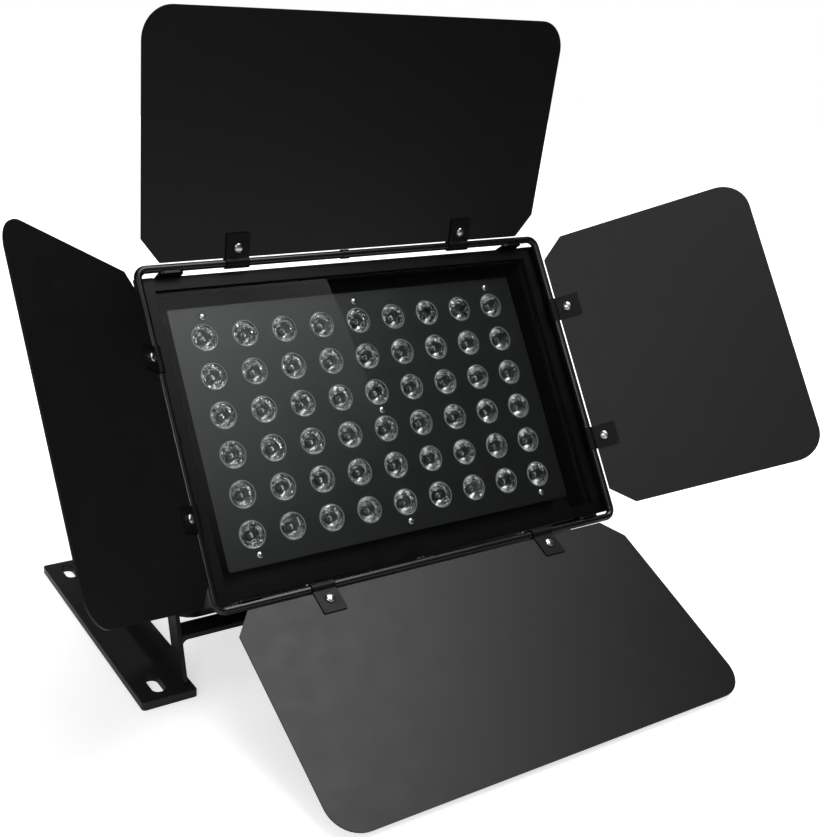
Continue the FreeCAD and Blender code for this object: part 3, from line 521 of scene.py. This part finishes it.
# Contacts in the sockets
SOCKET_FLOOR, SOCKET_Z = 96.0, 17.15
BLADE_THICKNESS, BLADE_WIDTH, BLADE_LENGTH, BLADE_EDGE = 1.2 * MM, 4 * MM, 7 * MM, 0.35 * MM
PIN, PIN_SIDES = ((0, 6.5), (0.5, 6.4), (0.8, 6.0), (0.8, 0), (0, 0)), 16


def contact_places(sockets, first, distance):
    """Three places round the middle of each socket"""
    return [HEAD @ facing(BACKWARD, (x, SOCKET_FLOOR, SOCKET_Z))
            @ Matrix.Rotation(math.radians(angle), 4, "Z") @ Matrix.Translation((distance * MM, 0, 0))
            for x in sockets for angle in (first, first + 120, first + 240)]


blade = bmesh.new()
box(blade, (0, 0, BLADE_LENGTH / 2), (BLADE_THICKNESS, BLADE_WIDTH, BLADE_LENGTH))
bmesh.ops.bevel(blade, geom=blade.edges[:], offset=BLADE_EDGE, segments=2, profile=0.5, affect="EDGES")
gather("power_contacts", mesh_of(blade, "blade"), contact_places((-13.5, -43.0), 0, 4.6), "head",
       "bare_metal")
pin = lathe([(r * MM, z * MM) for r, z in PIN], PIN_SIDES)
gather("signal_contacts", mesh_of(pin, "pin"), contact_places((15.0, 42.0), 90, 3.4), "head", "bare_metal")

# Unlit digits of the display; the gaps are what the strokes leave free, in widths of a stroke
DISPLAY_Y, DISPLAY_Z = 90.2, 77.15
DIGITS, DIGIT_WIDTH, DIGIT_HEIGHT, DIGIT_PITCH = 4, 5.6, 11.0, 9.0
STROKE, STROKE_DEPTH, FLAT_GAP, UPRIGHT_GAP = 1.1, 0.06, 1.5, 1.4
digits = bmesh.new()
for number in range(DIGITS):
    x, y = (number - (DIGITS - 1) / 2) * DIGIT_PITCH, DISPLAY_Y + STROKE_DEPTH / 2
    for z in (-DIGIT_HEIGHT / 2, 0, DIGIT_HEIGHT / 2):
        box(digits, Vector((x, y, DISPLAY_Z + z)) * MM,
            Vector((DIGIT_WIDTH - FLAT_GAP * STROKE, STROKE_DEPTH, STROKE)) * MM)
    for side_x in (-DIGIT_WIDTH / 2, DIGIT_WIDTH / 2):
        for z in (-DIGIT_HEIGHT / 4, DIGIT_HEIGHT / 4):
            box(digits, Vector((x + side_x, y, DISPLAY_Z + z)) * MM,
                Vector((STROKE, STROKE_DEPTH, DIGIT_HEIGHT / 2 - UPRIGHT_GAP * STROKE)) * MM)
gather("display_digits", mesh_of(digits, "digits"), [HEAD], "head", "button_plastic")


# Camera, at the photograph's place, with the middle of its view in pixels

IMAGE_WIDTH, IMAGE_HEIGHT = 824, 837
FOCAL_PIXELS = 1024.53
CENTRE_X, CENTRE_Y = 288.0, 474.3
CAMERA_PLACE = (-0.457395, -0.749461, 0.443194)
CAMERA_TURNS = (68.792, -0.69016, -28.65109)
camera_data = bpy.data.cameras.new("camera")
camera_data.sensor_width = 36
camera_data.lens = FOCAL_PIXELS * camera_data.sensor_width / IMAGE_HEIGHT
camera_data.shift_x = (IMAGE_WIDTH / 2 - CENTRE_X) / IMAGE_HEIGHT
camera_data.shift_y = (CENTRE_Y - IMAGE_HEIGHT / 2) / IMAGE_HEIGHT
camera_data.clip_start, camera_data.clip_end = 0.02, 60
camera = placed("camera", camera_data)
camera.location = CAMERA_PLACE
camera.rotation_euler = [math.radians(turn) for turn in CAMERA_TURNS]
bpy.context.scene.camera = camera


def stage_mesh(name, shape, material):
    """An object of the stage from a bmesh, which is then freed"""
    mesh = bpy.data.meshes.new(name)
    shape.to_mesh(mesh)
    shape.free()
    mesh.materials.append(material)
    return placed(name, mesh)


# Floor, white to the camera from FAR_GLOW metres off, a little less near the object, and keeping the shadow

FLOOR_RADIUS, FLOOR_SIDES, FLOOR_COLOUR = 12, 96, (0.86, 0.86, 0.86, 1)
NEAR_GLOW, FAR_GLOW, NEAR_LEVEL, FAR_LEVEL = 0.3, 0.7, 0.6, 1.0
floor_material, floor_tree, floor_shader = new_material("floor")
set_shader(floor_shader, Base_Color=FLOOR_COLOUR, Roughness=0.9, Specular_IOR_Level=0.1)
floor_light = floor_tree.nodes.new("ShaderNodeEmission")
floor_path = floor_tree.nodes.new("ShaderNodeLightPath")
floor_sum = floor_tree.nodes.new("ShaderNodeAddShader")
floor_place = floor_tree.nodes.new("ShaderNodeTexCoord")
floor_distance = floor_tree.nodes.new("ShaderNodeVectorMath")
floor_distance.operation = "LENGTH"
floor_tree.links.new(floor_place.outputs["Object"], floor_distance.inputs[0])
floor_glow = spread(floor_tree, floor_distance.outputs["Value"], NEAR_LEVEL, FAR_LEVEL, NEAR_GLOW, FAR_GLOW)
floor_level = math_node(floor_tree, "MULTIPLY", floor_path.outputs["Is Camera Ray"], floor_glow)
floor_tree.links.new(floor_level, floor_light.inputs["Strength"])
floor_tree.links.new(floor_shader.outputs["BSDF"], floor_sum.inputs[0])
floor_tree.links.new(floor_light.outputs["Emission"], floor_sum.inputs[1])
floor_tree.links.new(floor_sum.outputs["Shader"], floor_tree.nodes["Material Output"].inputs["Surface"])
floor_shape = bmesh.new()
bmesh.ops.create_circle(floor_shape, cap_ends=True, segments=FLOOR_SIDES, radius=FLOOR_RADIUS)
floor = stage_mesh("floor", floor_shape, floor_material)

# World: white where it is seen or mirrored, and a plain grey light elsewhere

WHITE_LEVEL, SOFT_LEVEL = 1.0, 0.45
world = bpy.data.worlds.new("studio")
bpy.context.scene.world = world
world.use_nodes = True
sky = world.node_tree
sky_path = sky.nodes.new("ShaderNodeLightPath")
seen = math_node(sky, "MAXIMUM", sky_path.outputs["Is Camera Ray"], sky_path.outputs["Is Glossy Ray"])
seen = math_node(sky, "MAXIMUM", seen, sky_path.outputs["Is Transmission Ray"])
sky_mix = sky.nodes.new("ShaderNodeMixShader")
sky.links.new(seen, sky_mix.inputs["Fac"])
for entry, strength in ((1, SOFT_LEVEL), (2, WHITE_LEVEL)):
    light = sky.nodes.new("ShaderNodeBackground")
    light.inputs["Color"].default_value = WHITE
    light.inputs["Strength"].default_value = strength
    sky.links.new(light.outputs["Background"], sky_mix.inputs[entry])
sky.links.new(sky_mix.outputs["Shader"], sky.nodes["World Output"].inputs["Surface"])

# Lamps, with their power in watts

LAMP_TARGET = (0, -0.1, 0.2)


def softbox(name, place, size, power):
    """A rectangular area lamp aimed at the light"""
    lamp_data = bpy.data.lights.new(name, "AREA")
    lamp_data.shape = "RECTANGLE"
    lamp_data.size, lamp_data.size_y = size
    lamp_data.energy = power
    lamp = placed(name, lamp_data)
    lamp.location = place
    lamp.rotation_euler = (Vector(LAMP_TARGET) - Vector(place)).to_track_quat("-Z", "Y").to_euler()


softbox("overhead_lamp", place=(0.5, -0.25, 2.3), size=(1.7, 1.3), power=30)
softbox("front_lamp", place=(-1.7, -1.7, 1.7), size=(0.6, 0.6), power=7)

# Dark tent with lit panels, a cloth and a flag, seen only in reflections and through the lenses

GLASS = Vector((0, -0.09, 0.19))
TENT_RADIUS, TENT_SEGMENTS, TENT_RINGS, TENT_LEVEL = 3.2, 64, 32, 0.03


def reflected_only(piece):
    """Leaves a stage piece out of the picture, the shadows and the soft light"""
    piece.visible_camera = False
    piece.visible_diffuse = False
    piece.visible_shadow = False


def direction(azimuth, elevation):
    """A direction from the middle of the glass; azimuth 0 is in front and 90 to the right"""
    a, e = math.radians(azimuth), math.radians(elevation)
    return Vector((math.sin(a) * math.cos(e), -math.cos(a) * math.cos(e), math.sin(e)))


tent_material, tent_tree = bare_material("tent")
tent_light = tent_tree.nodes.new("ShaderNodeEmission")
tent_place = tent_tree.nodes.new("ShaderNodeTexCoord")
tent_way = tent_tree.nodes.new("ShaderNodeVectorMath")
tent_way.operation = "NORMALIZE"
tent_tree.links.new(tent_place.outputs["Object"], tent_way.inputs[0])
# Lit panels: azimuth, elevation, angle where the panel is full, angle where it ends, level
PANELS = ((26, 56, 8, 26, 0.79), (-6, 34, 14, 34, 0.08), (89, 62, 14, 34, 1.42), (60, 40, 2, 18, 0.58),
          (-46, 34, 10, 24, 0.55), (-12, 72, 2.5, 5, 9.0), (150, 45, 2.5, 5, 9.0), (-68, 24, 4, 9, 2.6),
          (-18, 10, 3, 7, 3.0))
level = TENT_LEVEL
for azimuth, elevation, full, ends, height in PANELS:
    near = tent_tree.nodes.new("ShaderNodeVectorMath")
    near.operation = "DOT_PRODUCT"
    near.inputs[1].default_value = direction(azimuth, elevation)
    tent_tree.links.new(tent_way.outputs["Vector"], near.inputs[0])
    share = spread(tent_tree, near.outputs["Value"], 0, height, math.cos(math.radians(ends)),
                   math.cos(math.radians(full)))
    level = math_node(tent_tree, "ADD", share, level)
tent_tree.links.new(level, tent_light.inputs["Strength"])
tent_tree.links.new(tent_light.outputs["Emission"], tent_tree.nodes["Material Output"].inputs["Surface"])
tent_shape = bmesh.new()
bmesh.ops.create_uvsphere(tent_shape, u_segments=TENT_SEGMENTS, v_segments=TENT_RINGS, radius=TENT_RADIUS)
below = [vertex for vertex in tent_shape.verts if vertex.co.z < -GLASS.z]
bmesh.ops.delete(tent_shape, geom=below, context="VERTS")
tent = stage_mesh("tent", tent_shape, tent_material)
tent.location = GLASS
reflected_only(tent)

# Dark cloth on the floor, beyond the object
CLOTH_INNER, CLOTH_HEIGHT, CLOTH_SIDES = 1.0, 0.005, 64
flag_material, _, flag_shader = new_material("flag")
set_shader(flag_shader, Base_Color=(0.02, 0.02, 0.02, 1), Roughness=1.0, Specular_IOR_Level=0.0)
cloth_shape = bmesh.new()
turns = [2 * math.pi * side / CLOTH_SIDES for side in range(CLOTH_SIDES)]
inner, outer = [[cloth_shape.verts.new((radius * math.cos(t), radius * math.sin(t), CLOTH_HEIGHT))
                 for t in turns] for radius in (CLOTH_INNER, TENT_RADIUS)]
for side in range(CLOTH_SIDES):
    after = (side + 1) % CLOTH_SIDES
    cloth_shape.faces.new((inner[side], outer[side], outer[after], inner[after]))
reflected_only(stage_mesh("cloth", cloth_shape, flag_material))

# Dark flag on the right, with the azimuth and elevation of its near edge
FLAG_EDGE = ((28.0, -8), (38.2, 27.0), (42.6, 42.2), (47.0, 54.0))
FLAG_END, FLAG_DISTANCE = 105, 1.8
flag_shape = bmesh.new()
left = [flag_shape.verts.new(direction(a, e) * FLAG_DISTANCE + GLASS) for a, e in FLAG_EDGE]
right = [flag_shape.verts.new(direction(FLAG_END, e) * FLAG_DISTANCE + GLASS) for _, e in FLAG_EDGE]
for step in range(len(FLAG_EDGE) - 1):
    flag_shape.faces.new((left[step], right[step], right[step + 1], left[step + 1]))
reflected_only(stage_mesh("flag", flag_shape, flag_material))
